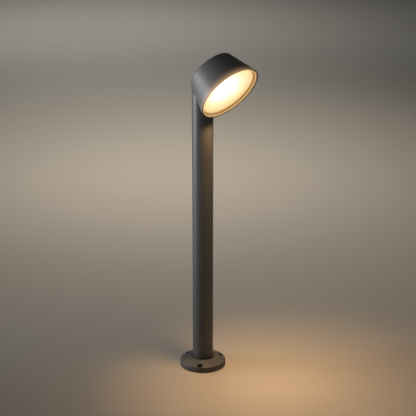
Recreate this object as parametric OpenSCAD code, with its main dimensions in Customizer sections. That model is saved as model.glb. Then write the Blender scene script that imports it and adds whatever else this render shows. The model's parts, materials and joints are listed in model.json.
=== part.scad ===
// Bollard light: a tilting round head on a swivelling tube, on a bolted-down flange.
// Origin: centre of the flange's underside. +Z is up and the light faces -Y.
// "Reach" is the distance forward of the pole's axis, so a reach of t lies at y = -t.

/* [Pole] */
// Outer diameter of the tube
pole_d = 60; // [54:1:72]
// Wall of the tube
pole_wall = 2.5; // [2:0.1:3.5]
// Height of the tilt pivot above the ground
pivot_height = 860; // [600:10:1100]
// How far the tilt pivot stands behind the pole's axis
pivot_back = 13; // [12:0.5:14]
// Gap between the tube's slanted end and the head's underside
head_gap = 4; // [3.5:0.5:6]

/* [Base] */
// Diameter of the flange
base_d = 133; // [126:1:180]
// Height of the flange's rim, rounding included
base_rim_h = 18; // [17:0.5:24]
// Rounding of the rim's upper edge
base_round = 3.5; // [2:0.5:5]
// Slope of the flange's top, degrees
base_slope = 17.5; // [12:0.5:20]
// Distance of the anchor holes' circle from the rim
hole_inset = 8; // [7:0.5:9]
// Diameter of the anchor holes
anchor_hole_d = 9; // [7:0.5:10]
// Diameter of the spot-faced seats round the anchor holes
anchor_seat_d = 16.5; // [15:0.5:18]
// Height of the spot-faced seats above the ground
anchor_seat_h = 12; // [9:0.5:13]
// Direction of the first anchor hole, degrees round from the front
anchor_turn = -53; // [-60:1:60]
// Length of the spigot that stands inside the tube
spigot_h = 70; // [60:1:100]

/* [Head] */
// Diameter of the head at its open front
head_front_d = 188.5; // [176:0.5:200]
// Diameter of the head at its closed back
head_back_d = 138; // [132:0.5:150]
// Depth of the head
head_depth = 90; // [86:0.5:110]
// Angle of the light below the horizontal, degrees
head_tilt = 35.5; // [30:0.5:40]
// Wall of the head's casting
head_wall = 3; // [2.5:0.1:3.5]
// Thickness of the head's back
head_back_wall = 4.5; // [4:0.1:6]
// Rounding of the head's back edge
head_round = 5.5; // [3:0.5:7]
// Width of the rim round the opening
lip_w = 4; // [3.5:0.1:5]
// Depth of the diffuser's face behind the rim
diffuser_inset = 10; // [9:0.5:14]
// Width of the ring between the rim and the diffuser
ring_w = 5.94; // [5:0.1:9]

/* [Hinge] */
// How far the pivot stands behind the head's back
pivot_off = 16; // [15:0.5:18]
// How far the pivot stands inside the edge of the head's back
pivot_inset = 12.5; // [11:0.5:15]
// Diameter of the pivot bolt
pivot_d = 8; // [6:1:8]
// Radius of the eyes round the pivot
eye_r = 9.5; // [8.5:0.5:10]
// Thickness of the pole cap's tongue
tongue_w = 14; // [12:1:16]
// Thickness of each of the bracket's ears
ear_w = 5; // [4:0.5:6]

/* [Light engine] */
// Gap between the heat sink and the head's wall
sink_gap = 4.7; // [3:0.1:10]
// Thickness of the heat sink's plate
sink_plate = 5; // [4:0.5:6]
// Height of the heat sink's fins
fin_h = 30; // [20:1:34]
// Distance between the middles of two fins
fin_pitch = 12; // [11:0.5:14]
// Diameter of the LED board
board_d = 66; // [64:1:66]
// Side of an LED chip
chip = 3.5; // [3:0.1:3.5]

/* [Wiring] */
// Diameter of the lead from the driver to the head
lead_d = 6; // [5:0.5:6]
// Diameter of the supply cable that the grommet takes
cable_d = 10; // [8:0.5:11]
// Length of the driver's case
driver_l = 150; // [120:5:180]
// Width of the driver's case
driver_w = 36; // [30:1:36]
// Depth of the driver's case
driver_t = 24; // [20:1:24]

/* [Hidden] */
$fn = 96;
EPS = 0.01;
// Clearances: a running fit, a screw in its thread, and parts that move past each other
RUN = 0.05;
THREAD = 0.02;
CLEAR = 0.3;
FAR = 400;

// Pole
pole_r = pole_d / 2;
pole_in = pole_r - pole_wall;
swivel_z = 22;
foot_t = 2;
pole_foot = swivel_z + foot_t + 0.1;
seal_w = 3.2;
seal_h = 5;
spigot_r = pole_in - RUN;
spigot_bore = spigot_r - 6.45;
spigot_top = swivel_z + spigot_h;
grub_d = 6;
grub_l = 6;
grub_z = swivel_z + spigot_h / 2;
groove_r = pole_in - grub_l + pole_wall - 2 * CLEAR;
// Screws stand on the pole's hidden rear half, 120 degrees apart
screw_turns = [75, 195];

// Base
base_r = base_d / 2;
base_corner = [base_r - base_round, base_rim_h - base_round];
seal_r = pole_r + CLEAR + seal_w;
collar_r = seal_r + 1.5;
collar_z = base_corner[1] + base_round * cos(base_slope)
         + (base_corner[0] + base_round * sin(base_slope) - collar_r) * tan(base_slope);
pocket_r = 40;
pocket_h = 8;
web_top = 16;
entry_r = 14;
anchor_r = base_r - hole_inset;
anchor_count = 3;

// Head: the local frame has its origin at the middle of the back, +Z out of the opening
front_r = head_front_d / 2;
back_r = head_back_d / 2;
cone = atan((front_r - back_r) / head_depth);
pivot_drop = back_r - pivot_inset;
mitre = head_tilt + cone;
head_reach = -pivot_back + pivot_off * cos(head_tilt) + pivot_drop * sin(head_tilt);
head_z = pivot_height - pivot_off * sin(head_tilt) + pivot_drop * cos(head_tilt);
corner_reach = head_reach - back_r * sin(head_tilt);
corner_z = head_z - back_r * cos(head_tilt);
mitre_z = corner_z + corner_reach * tan(mitre) - head_gap / cos(mitre);
function head_r(z) = back_r + z * tan(cone);

diffuser_t = 3;
gasket_t = 1;
seat_z = head_depth - diffuser_inset - diffuser_t - gasket_t;
seat_t = 3;
diffuser_r = head_r(seat_z) - lip_w - CLEAR;
ring_z = head_depth - diffuser_inset;
ring_lip = 1.5;
ring_in = head_r(ring_z) - lip_w - ring_w;
seat_r = ring_in - 3.5;

// Light engine, measured in the head's frame
sink_z = seat_z - 20;
sink_top = sink_z + sink_plate;
sink_r = head_r(sink_z) - head_wall - sink_gap;
post_r = sink_r - 13;
fin_t = 2;
fin_reach = sink_r - 20;
pad_t = 0.4;
board_t = 1.6;
board_z = sink_top + pad_t;
board_top = board_z + board_t;
chip_t = 0.7;
chip_rings = [[13, 8], [21.5, 14]];
board_screw_r = 28.5;
dish_in = board_d / 2 + 1;
dish_t = 1.2;
dish_z = board_top + 1.5;
dish_r = seat_r - 1.5;
plug_r = 5;

// Hinge
pivot_r = pivot_d / 2;
washer_t = 1;
ear_in = tongue_w / 2 + 0.1 + washer_t;
ear_out = ear_in + ear_w;
bracket_t = 4;
bracket_seal = 1;
bracket_w = 46;
bracket_low = -pivot_drop - 1.5;
bracket_high = bracket_low + 36;
bracket_screws_y = [bracket_high - 8, bracket_low + 12];
bracket_screw_x = 18;
cap_plate = 5;
cap_skirt = 20;
cap_wall = 6;
cap_r = pole_in - 0.1;
seal_in = cap_r - 1.5;
seal_low = -9;
seal_high = -7;
cap_screw_drop = 24;

// Wiring
lead_r = lead_d / 2;
lead_reach = 12;
lead_run = cap_plate + 0.8;
lead_bend = min(20, (lead_reach - lead_run * sin(mitre)) / (1 - cos(mitre)));
lead_crossing = mitre_z - lead_reach * tan(mitre);
bend_end = lead_bend * (1 - cos(mitre));
bend_run = (lead_reach - bend_end) / sin(mitre);
bend_z = lead_crossing - bend_run * cos(mitre) - lead_bend * sin(mitre);
port_r = lead_r + 2;
flange_r = port_r + 2;
tray_t = 2;
tray_w = 40;
tray_y = 6;
saddle_z = spigot_top + 17;
block_z = spigot_top + 30;
earth_z = spigot_top + 62;
driver_z = spigot_top + 86;
driver_top = driver_z + driver_l;
outlet_h = 14;
tab_h = 10;
tab_t = 2;
tab_screws_z = [driver_z - tab_h / 2, driver_top + tab_h / 2];
tray_screw_x = 12;
tray_top = driver_top + tab_h + 2;
wire_x = 9.5;

COAT = "#3c3e3f";
STEEL = "#b4b6b8";
ZINC = "#9a9da0";
RUBBER = "#1c1c1d";

// ---- places ----

module in_head()
    translate([0, -head_reach, head_z])
        rotate([90 + head_tilt, 0, 0])
            children();

module at_pivot()
    translate([0, pivot_back, pivot_height])
        rotate([0, 90, 0])
            children();

// On the slanted end of the tube, +Z towards the head
module on_mitre(reach = 0)
    translate([0, -reach, mitre_z - reach * tan(mitre)])
        rotate([mitre, 0, 0])
            children();

// On the pole at a direction round from the front, +Z outwards
module around(turn, z)
    translate([0, 0, z])
        rotate([90, 0, turn])
            children();

module at_anchors()
    for (i = [0 : anchor_count - 1])
        rotate([0, 0, anchor_turn + i * 360 / anchor_count])
            translate([0, -anchor_r, 0])
                children();

module at_posts()
    for (turn = [90, 210, 330])
        rotate([0, 0, turn])
            translate([post_r, 0, 0])
                children();

module at_board_screws()
    for (turn = [30, 150, 270])
        rotate([0, 0, turn])
            translate([board_screw_r, 0, 0])
                children();

module at_bracket_screws()
    for (x = [-bracket_screw_x, bracket_screw_x], y = bracket_screws_y)
        translate([x, y, 0])
            children();

module at_tray_screws()
    for (x = [-1, 1])
        translate([x * (spigot_bore + spigot_r) / 2, 0, spigot_top])
            children();

// ---- shapes ----

// A ring on Z: outer and inner radius, from height a to height b
module ring(outer, inner, a, b)
    translate([0, 0, a])
        difference() {
            cylinder(r = outer, h = b - a);
            translate([0, 0, -EPS]) cylinder(r = inner, h = b - a + 2 * EPS);
        }

// A box with rounded upright edges, standing on Z = 0
module soft_box(w, d, h, r = 2)
    linear_extrude(h) {
        square([w - 2 * r, d], center = true);
        square([w, d - 2 * r], center = true);
        for (x = [-1, 1], y = [-1, 1])
            translate([x * (w / 2 - r), y * (d / 2 - r)]) circle(r, $fn = 32);
    }

// A screw with its head's seat at Z = 0 and its shank down -Z
module cap_screw(r, l, head_r, head_h)
    difference() {
        union() {
            translate([0, 0, -l]) cylinder(r = r, h = l + EPS);
            cylinder(r = head_r, h = head_h);
        }
        translate([0, 0, head_h * 0.4]) cylinder(r = r * 0.85, h = head_h, $fn = 6);
    }

// A headless screw whose outer end is at Z = 0
module set_screw(r, l)
    difference() {
        translate([0, 0, -l]) cylinder(r = r, h = l);
        translate([0, 0, -l / 2]) cylinder(r = r * 0.55, h = l, $fn = 6);
    }

// Everything above the tube's slanted end
module above_mitre(offset = 0)
    on_mitre()
        translate([-FAR / 2, -FAR / 2, offset])
            cube([FAR, FAR, FAR]);

// A slice of a cylinder between two planes parallel to the tube's slanted end
module mitred_slice(r, low, high)
    difference() {
        translate([0, 0, mitre_z - 3 * pole_d]) cylinder(r = r, h = 6 * pole_d);
        above_mitre(high);
        on_mitre()
            translate([-FAR / 2, -FAR / 2, low - FAR])
                cube([FAR, FAR, FAR]);
    }

// The same, hollow
module mitred_ring(outer, inner, low, high)
    difference() {
        mitred_slice(outer, low, high);
        mitred_slice(inner, low - 1, high + 1);
    }

// Points where lines from p touch a circle at c: side is 1 or -1
function touch(p, c, r, side) =
    let (v = p - c, d = norm(v), a = atan2(v[1], v[0]) + side * acos(r / d))
    c + r * [cos(a), sin(a)];

// ---- curved lead: a route in the X = 0 plane, smoothed and swept ----

function bend_point(p, i, u) =
    let (a = p[max(i - 1, 0)], b = p[i], c = p[i + 1], d = p[min(i + 2, len(p) - 1)])
    0.5 * (2 * b + (c - a) * u + (2 * a - 5 * b + 4 * c - d) * u * u
    + (3 * b - a - 3 * c + d) * u * u * u);
function smooth(p, n) =
    concat([for (i = [0 : len(p) - 2], k = [0 : n - 1]) bend_point(p, i, k / n)], [p[len(p) - 1]]);
function heading(p, i) =
    let (v = p[min(i + 1, len(p) - 1)] - p[max(i - 1, 0)]) v / norm(v);

module swept_lead(route, r, sides = 12)
{
    last = len(route) - 1;
    points = [for (i = [0 : last], k = [0 : sides - 1])
        let (t = heading(route, i), a = k * 360 / sides)
        [r * cos(a), route[i][0] + r * sin(a) * t[1], route[i][1] - r * sin(a) * t[0]]];
    skin = [for (i = [0 : last - 1], k = [0 : sides - 1])
        let (n = (k + 1) % sides)
        [i * sides + k, (i + 1) * sides + k, (i + 1) * sides + n, i * sides + n]];
    ends = [[for (k = [0 : sides - 1]) k], [for (k = [sides - 1 : -1 : 0]) last * sides + k]];
    polyhedron(points, concat(skin, ends), convexity = 6);
}

// ---- base ----

module base_outline()
{
    // The top slopes up from a rounded rim to the collar round the tube
    edge = base_corner + base_round * [sin(base_slope), cos(base_slope)];
    polygon([[0, 0], [base_r - 1, 0], [base_r, 1], [base_r, base_corner[1]], base_corner, edge,
             [collar_r, collar_z], [0, collar_z]]);
    translate(base_corner) circle(base_round);
}

module base_flange()
    color(COAT)
    difference() {
        union() {
            rotate_extrude() base_outline();
            cylinder(r = spigot_r, h = spigot_top);
        }
        ring(seal_r, spigot_r, swivel_z, collar_z + 1);
        translate([0, 0, -EPS]) cylinder(r = pocket_r, h = pocket_h + EPS);
        cylinder(r = entry_r, h = spigot_top);
        translate([0, 0, web_top]) cylinder(r = spigot_bore, h = spigot_top);
        // Annular groove that the grub screws run in
        ring(pole_r, groove_r, grub_z - grub_d / 2 - 1, grub_z + grub_d / 2 + 1);
        at_anchors() {
            translate([0, 0, -EPS]) cylinder(d = anchor_hole_d, h = base_rim_h + pole_d);
            translate([0, 0, anchor_seat_h]) cylinder(d = anchor_seat_d, h = collar_z);
        }
        at_tray_screws() translate([0, 0, -10]) cylinder(r = 1.5 + THREAD, h = 11);
    }

module cable_grommet()
    color(RUBBER)
    rotate_extrude()
        polygon([[cable_d / 2 + 0.2, 5], [12, 5], [17, 6.5], [17, pocket_h], [entry_r, pocket_h],
                 [entry_r, web_top], [17, web_top], [17, web_top + 1.5], [8.5, web_top + 8],
                 [cable_d / 2 + 0.2, web_top + 8]]);

module foot_ring()
    color("#e8e6df")
    ring(pole_r - 0.1, spigot_r + RUN, swivel_z, swivel_z + foot_t);

module foot_seal()
    color(RUBBER)
    difference() {
        ring(seal_r - 0.05, pole_r + CLEAR, swivel_z, swivel_z + seal_h);
        // The lip leans towards the tube
        translate([0, 0, swivel_z + seal_h])
            rotate_extrude()
                polygon([[pole_r + 1.6, 1], [seal_r + 1, 1], [seal_r + 1, -1.4]]);
    }

module gear_tray()
    color(ZINC)
    difference() {
        union() {
            ring(pole_in - 1.5, 12, spigot_top, spigot_top + tray_t);
            translate([-tray_w / 2, tray_y, spigot_top])
                cube([tray_w, tray_t, tray_top - spigot_top]);
        }
        at_tray_screws() translate([0, 0, -1]) cylinder(r = 1.5 + 0.2, h = 4);
        for (x = [-tray_screw_x, tray_screw_x], z = concat([saddle_z], tab_screws_z))
            tray_front(x, z)
                translate([0, 0, -tray_t - 1]) cylinder(r = 1.5 + THREAD, h = tray_t + 2);
        tray_front(0, earth_z)
            translate([0, 0, -tray_t - 1]) cylinder(r = 2 + THREAD, h = tray_t + 2);
    }

// A screw through the tray from its front face
module tray_front(x, z)
    translate([x, tray_y, z])
        rotate([90, 0, 0])
            children();

module tray_screws()
    color(STEEL)
    at_tray_screws() translate([0, 0, tray_t]) cap_screw(1.5, 9, 2.75, 2);

module cable_saddle()
    color("#d9d7cf")
    difference() {
        tray_front(0, saddle_z) {
            translate([-16, -5, 0]) cube([32, 10, 3]);
            translate([-8.5, -5, 0]) cube([17, 10, 8.5]);
        }
        tray_front(0, saddle_z) {
            for (x = [-tray_screw_x, tray_screw_x])
                translate([x, 0, -1]) cylinder(r = 1.5 + THREAD, h = 6);
            translate([0, 6, 0.5]) rotate([90, 0, 0]) cylinder(d = cable_d + 0.4, h = 12);
            translate([-cable_d / 2 - 0.2, -6, -1]) cube([cable_d + 0.4, 12, 1.5]);
        }
    }

module saddle_screws()
    color(STEEL)
    for (x = [-tray_screw_x, tray_screw_x])
        tray_front(x, saddle_z)
            translate([0, 0, 3]) cap_screw(1.5, 6, 2.6, 2);

module terminal_block()
    color("#eceae4")
    difference() {
        tray_front(0, block_z + 8) translate([-15, -8, 0]) cube([30, 20, 15]);
        for (x = [-wire_x, 0, wire_x]) {
            // Wire entries from below and above, and a screw well in front
            tray_front(x, block_z) translate([0, 21, 6])
                rotate([90, 0, 0]) cylinder(r = 1.8, h = 22);
            tray_front(x, block_z + 10) translate([0, 0, 6]) cylinder(r = 2.2 + THREAD, h = 12);
        }
    }

module terminal_screws()
    color(STEEL)
    for (x = [-wire_x, 0, wire_x])
        tray_front(x, block_z + 10)
            translate([0, 0, 12])
                set_screw(2.2, 4);

module earth_screw()
    color("#b9a24a")
    tray_front(0, earth_z)
        translate([0, 0, 1.2]) cap_screw(2, 7, 3.5, 2.6);

module earth_washer()
    color(STEEL)
    tray_front(0, earth_z)
        ring(5, 2 + THREAD, 0, 1.2);

module supply_wires()
    color("#7a4a2a")
    for (x = [-wire_x, wire_x])
        translate([x, tray_y - 6, block_z + 18])
            cylinder(r = 1.4, h = driver_z - block_z - 18 + 3, $fn = 24);

module led_driver()
    color("#e4e6e8")
    difference() {
        union() {
            translate([0, tray_y - driver_t / 2, driver_z]) soft_box(driver_w, driver_t, driver_l);
            translate([-driver_w / 2 + 2, tray_y - tab_t, driver_z - tab_h])
                cube([driver_w - 4, tab_t, driver_l + 2 * tab_h]);
        }
        // The tab leaves room for the outlet, and takes a screw on each side of it
        translate([-6, 0, driver_top]) cube([12, tray_y + 1, tab_h + 1]);
        for (x = [-tray_screw_x, tray_screw_x], z = tab_screws_z)
            tray_front(x, z) translate([0, 0, -1]) cylinder(r = 1.5 + THREAD, h = tab_t + 2);
        for (x = [-wire_x, wire_x])
            translate([x, tray_y - 6, driver_z - 1]) cylinder(r = 1.5, h = 5, $fn = 24);
        translate([0, 0, driver_top - 2]) cylinder(r = 5, h = 3);
        // A shallow ledge round the lid
        translate([-driver_w / 2 - 1, tray_y - driver_t - 1, driver_z + 20])
            cube([driver_w + 2, 1.8, driver_l - 40]);
    }

module driver_screws()
    color(STEEL)
    for (x = [-tray_screw_x, tray_screw_x], z = tab_screws_z)
        tray_front(x, z) translate([0, 0, tab_t]) cap_screw(1.5, 5, 2.8, 2);

module driver_outlet()
    color(RUBBER)
    ring(5, lead_r + CLEAR, driver_top - 2, driver_top + outlet_h - 2);

// ---- pole ----

module pole_tube()
    color(COAT)
    difference() {
        ring(pole_r, pole_in, pole_foot, mitre_z + 2 * pole_d);
        above_mitre();
        for (turn = screw_turns) {
            around(turn, grub_z) translate([0, 0, 1]) cylinder(r = grub_d / 2 + THREAD, h = pole_r);
            around(turn, cap_screw_z(turn)) translate([0, 0, 1]) cylinder(r = 2.6, h = pole_r);
        }
    }

module grub_screws()
    color(STEEL)
    for (turn = screw_turns)
        around(turn, grub_z) translate([0, 0, pole_r - CLEAR]) set_screw(grub_d / 2, grub_l);

function cap_screw_z(turn) = mitre_z - pole_r * cos(turn) * tan(mitre) - cap_screw_drop;

module pole_cap()
    color(COAT)
    difference() {
        union() {
            difference() {
                mitred_slice(cap_r, -cap_skirt, 0);
                mitred_slice(cap_r - cap_wall, -cap_skirt - 1, -cap_plate);
            }
            // Tongue with the pivot's eye
            at_pivot()
                translate([0, 0, -tongue_w / 2])
                    linear_extrude(tongue_w) {
                        circle(eye_r);
                        polygon([[0, eye_r], [17, eye_r], [27, -3.5], [0, -3.5]]);
                    }
        }
        at_pivot() translate([0, 0, -tongue_w]) cylinder(r = pivot_r + RUN, h = 2 * tongue_w);
        on_mitre(lead_reach) translate([0, 0, -cap_skirt]) cylinder(r = port_r, h = 2 * cap_skirt);
        // Seal groove round the skirt
        mitred_ring(pole_r, seal_in - 0.1, seal_low - 0.1, seal_high + 0.1);
        for (turn = screw_turns)
            around(turn, cap_screw_z(turn)) cylinder(r = 2.5 + THREAD, h = pole_r);
    }

module cap_screws()
    color(STEEL)
    for (turn = screw_turns)
        around(turn, cap_screw_z(turn)) translate([0, 0, pole_r - CLEAR]) set_screw(2.5, 8);

module cap_seal()
    color(RUBBER)
    mitred_ring(pole_in - RUN, seal_in, seal_low, seal_high);

module cap_grommet()
    color(RUBBER)
    on_mitre(lead_reach)
        rotate_extrude()
            polygon([[lead_r + RUN, 1.2], [flange_r - 1, 1.2], [flange_r, 0.2], [flange_r, 0],
                     [port_r, 0], [port_r, -cap_plate], [flange_r, -cap_plate],
                     [flange_r, -cap_plate - 1.5], [lead_r + RUN, -cap_plate - 1.5]]);

// The lead rises on the pole's axis, then bends over to cross the gap squarely
lead_rise = [[0, driver_top], [0, bend_z - lead_bend], [0, bend_z - 1]];
lead_over = [for (i = [0 : 10])
    [lead_bend * (cos(mitre * i / 10) - 1), bend_z + lead_bend * sin(mitre * i / 10)]];
lead_out = [-lead_reach + cap_plate * sin(mitre), lead_crossing - cap_plate * cos(mitre)];

module pole_lead()
    color(RUBBER)
    swept_lead(concat(lead_rise, lead_over, [lead_out]), lead_r);

module tilt_lead()
    color(RUBBER)
    on_mitre(lead_reach)
        translate([0, 0, -cap_plate])
            cylinder(r = lead_r, h = cap_plate + head_gap + 2 - CLEAR);

// ---- head ----

module head_outline()
{
    // Back edge: a circle tangent to the back and to the cone
    round_c = [head_r(head_round) - head_round / cos(cone), head_round];
    round_end = round_c + head_round * [cos(cone), -sin(cone)];
    inner_low = head_r(head_back_wall) - head_wall;
    under_seat = seat_z - seat_t - 8;
    polygon([[0, 0], [round_c[0], 0], round_c, round_end, [front_r, head_depth],
             [front_r - lip_w, head_depth], [head_r(seat_z) - lip_w, seat_z],
             [seat_r, seat_z], [seat_r, seat_z - seat_t],
             [head_r(under_seat) - head_wall, under_seat],
             [inner_low, head_back_wall], [0, head_back_wall]]);
    translate(round_c) circle(head_round);
}

// Place of the lead's port on the head's wall, +Z inwards
module at_port()
    on_mitre(lead_reach) translate([0, 0, head_gap]) children();

module head_housing()
    color(COAT)
    difference() {
        union() {
            in_head() {
                rotate_extrude() head_outline();
                at_posts() translate([0, 0, head_back_wall - 1])
                    cylinder(r = 5, h = sink_z - head_back_wall + 1);
                at_bracket_screws() cylinder(r = 5, h = 11);
            }
        }
        in_head() {
            at_posts() translate([0, 0, sink_z - 14]) cylinder(r = 2 + THREAD, h = 15);
            at_bracket_screws() translate([0, 0, -1]) cylinder(r = 2 + THREAD, h = 11);
        }
        at_port() {
            translate([0, 0, -4]) cylinder(r = flange_r + 0.3, h = 4.5);
            cylinder(r = port_r, h = 12);
            translate([0, 0, 2.6]) cylinder(r = flange_r + 0.6, h = 8);
        }
    }

module bracket_plan(r = 5)
    translate([-bracket_w / 2, bracket_low])
        translate([bracket_w / 2, (bracket_high - bracket_low) / 2])
        {
            square([bracket_w - 2 * r, bracket_high - bracket_low], center = true);
            square([bracket_w, bracket_high - bracket_low - 2 * r], center = true);
            for (x = [-1, 1], y = [-1, 1])
                translate([x * (bracket_w / 2 - r), y * ((bracket_high - bracket_low) / 2 - r)])
                    circle(r);
        }

module ear_outline()
{
    // Seen along the pivot: across is the head's Y, up is away from its back
    eye = [-pivot_drop, pivot_off];
    foot = bracket_seal + bracket_t - EPS;
    low = [bracket_low + 2, foot];
    high = [bracket_high - 6, foot];
    translate(eye) circle(eye_r);
    polygon([low, high, touch(high, eye, eye_r, 1), eye, touch(low, eye, eye_r, -1)]);
}

module hinge_bracket()
    color(COAT)
    in_head()
        difference() {
            union() {
                translate([0, 0, -bracket_seal - bracket_t]) linear_extrude(bracket_t) bracket_plan();
                for (x = [-ear_out, ear_in])
                    translate([x, 0, 0])
                        rotate([0, 90, 0]) rotate([0, 0, 90])
                            linear_extrude(ear_w) mirror([0, 1]) ear_outline();
            }
            translate([-FAR / 2, -pivot_drop, -pivot_off])
                rotate([0, 90, 0]) cylinder(r = pivot_r + RUN, h = FAR);
            at_bracket_screws() translate([0, 0, -12]) cylinder(r = 2 + RUN, h = 24);
        }

module bracket_gasket()
    color(RUBBER)
    in_head()
        translate([0, 0, -bracket_seal])
            linear_extrude(bracket_seal)
                difference() {
                    bracket_plan();
                    for (x = [-1, 1], y = bracket_screws_y)
                        translate([x * bracket_screw_x, y]) circle(2 + RUN);
                }

module bracket_screws()
    color(STEEL)
    in_head()
        at_bracket_screws()
            translate([0, 0, -bracket_seal - bracket_t])
                rotate([180, 0, 0]) cap_screw(2, 13, 3.5, 2.6);

module pivot_bolt()
    color(STEEL)
    at_pivot()
        translate([0, 0, -ear_out])
            rotate([180, 0, 0])
                cap_screw(pivot_r, 2 * ear_out + 8, 6.5, 7);

module pivot_nut()
    color(STEEL)
    at_pivot()
        difference() {
            translate([0, 0, ear_out]) cylinder(r = 7.5, h = 6.5, $fn = 6);
            cylinder(r = pivot_r + THREAD, h = ear_out + 8);
        }

module pivot_washers()
    color("#e8e6df")
    at_pivot()
        for (side = [0, 1])
            mirror([0, 0, side])
                ring(8.5, pivot_r + RUN, ear_in - washer_t, ear_in);

module head_grommet()
    color(RUBBER)
    at_port()
        rotate_extrude()
            polygon([[lead_r + RUN, -0.7], [flange_r - 1, -0.7], [flange_r, 0.1], [flange_r, 0.5],
                     [port_r, 0.5], [port_r, 2.6], [flange_r, 2.6], [flange_r, 4.2],
                     [lead_r + RUN, 4.2]]);

// The lead goes in from the port, runs between two fins, and turns up through the board
function in_head_plane(reach, z) =
    [(reach - head_reach) * sin(head_tilt) + (z - head_z) * cos(head_tilt),
     (reach - head_reach) * cos(head_tilt) - (z - head_z) * sin(head_tilt)];
port_in = in_head_plane(lead_reach + (head_gap + 2) * sin(mitre),
                        lead_crossing + (head_gap + 2) * cos(mitre));
port_on = port_in + 8 * [cos(cone), sin(cone)];
LEAD_TURN = [[-50, 41], [-35, 39], [-20, 33], [-9, 32], [-2, 37], [0, 45]];

module head_lead()
    color(RUBBER)
    in_head()
        swept_lead(smooth(concat([port_in, port_on], LEAD_TURN, [[0, board_top - 6],
                                 [0, board_top + 1]]), 5), lead_r);

module heat_sink()
    color("#c9cbcd")
    in_head()
        difference() {
            union() {
                translate([0, 0, sink_z]) cylinder(r = sink_r, h = sink_plate);
                intersection() {
                    for (i = [-5 : 4])
                        translate([(i + 0.5) * fin_pitch - fin_t / 2, -sink_r, sink_z - fin_h])
                            cube([fin_t, 2 * sink_r, fin_h + 1]);
                    cylinder(r = fin_reach, h = head_depth);
                }
            }
            cylinder(r = lead_r + 0.4, h = head_depth);
            at_posts() cylinder(r = 2 + 0.2, h = head_depth);
            at_board_screws() translate([0, 0, sink_top - 4]) cylinder(r = 1.5 + THREAD, h = 10);
        }

module sink_screws()
    color(STEEL)
    in_head()
        at_posts() translate([0, 0, sink_top]) cap_screw(2, 14, 3.5, 4);

module board_disc(z, t)
    in_head()
        translate([0, 0, z])
            linear_extrude(t)
                difference() {
                    circle(d = board_d);
                    circle(lead_r + 0.4);
                    for (turn = [30, 150, 270])
                        rotate(turn) translate([board_screw_r, 0]) circle(1.7);
                }

module thermal_pad()
    color("#8fa6b8")
    board_disc(sink_top, pad_t);

module led_board()
    color("#f2f2ee")
    board_disc(board_z, board_t);

module led_chips()
    color("#f6d64a")
    in_head()
        for (row = chip_rings, i = [0 : row[1] - 1])
            rotate([0, 0, (i + 0.5) * 360 / row[1]])
                translate([row[0] - chip / 2, -chip / 2, board_top])
                    cube([chip, chip, chip_t]);

module board_screws()
    color(STEEL)
    in_head()
        at_board_screws() translate([0, 0, board_top]) cap_screw(1.5, 5.5, 2.75, 1.7);

module board_plug()
    color("#f4f4f0")
    in_head()
        difference() {
            translate([0, 0, board_top]) cylinder(r = plug_r, h = 4);
            cylinder(r = lead_r + RUN, h = board_top + 2);
        }

module reflector()
    color("#f7f7f5")
    in_head()
        rotate_extrude()
            polygon([[dish_in, sink_top], [dish_in + 1.5, sink_top], [dish_in + 1.5, dish_z - dish_t],
                     [dish_r, seat_z - 1 - dish_t], [dish_r, seat_z - 1], [dish_in, dish_z]]);

module diffuser_gasket()
    color("#d8d8d4")
    in_head()
        ring(diffuser_r - 0.2, seat_r + 1, seat_z, seat_z + gasket_t);

module diffuser()
    color("#fff1d2")
    in_head()
        translate([0, 0, seat_z + gasket_t])
            cylinder(r = diffuser_r, h = diffuser_t);

module front_ring()
    color(COAT)
    in_head()
        rotate_extrude()
            polygon([[ring_in, ring_z], [head_r(ring_z) - lip_w - 0.2, ring_z],
                     [head_r(head_depth - 1.2) - lip_w - 0.2, head_depth - 1.2],
                     [head_r(head_depth - 1.2) - lip_w - 1.2, head_depth - 1.2],
                     [ring_in, ring_z + ring_lip]]);

base_flange();
cable_grommet();
foot_ring();
foot_seal();
gear_tray();
tray_screws();
cable_saddle();
saddle_screws();
terminal_block();
terminal_screws();
earth_screw();
earth_washer();
supply_wires();
led_driver();
driver_screws();
driver_outlet();
pole_tube();
grub_screws();
pole_cap();
cap_screws();
cap_seal();
cap_grommet();
pole_lead();
tilt_lead();
head_housing();
hinge_bracket();
bracket_gasket();
bracket_screws();
pivot_bolt();
pivot_nut();
pivot_washers();
head_grommet();
head_lead();
heat_sink();
sink_screws();
thermal_pad();
led_board();
led_chips();
board_screws();
board_plug();
reflector();
diffuser_gasket();
diffuser();
front_ring();
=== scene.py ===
# %% [markdown]
# # A garden bollard light
#
# This lesson dresses a finished engineering model of a bollard light in Blender. The model
# already has every part at its real size and place. What is left is how the light looks:
# the powder coat, the opal glass, the rubber, and the light that it throws on the ground.
#
# Everything is in metres. Z is up, the lamp shines towards -Y, and the tilt pivot runs along X.

# %% Load the frame and keep its size
import json
import math

import bmesh
import bpy
import numpy as np
from mathutils import Matrix, Vector


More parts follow.
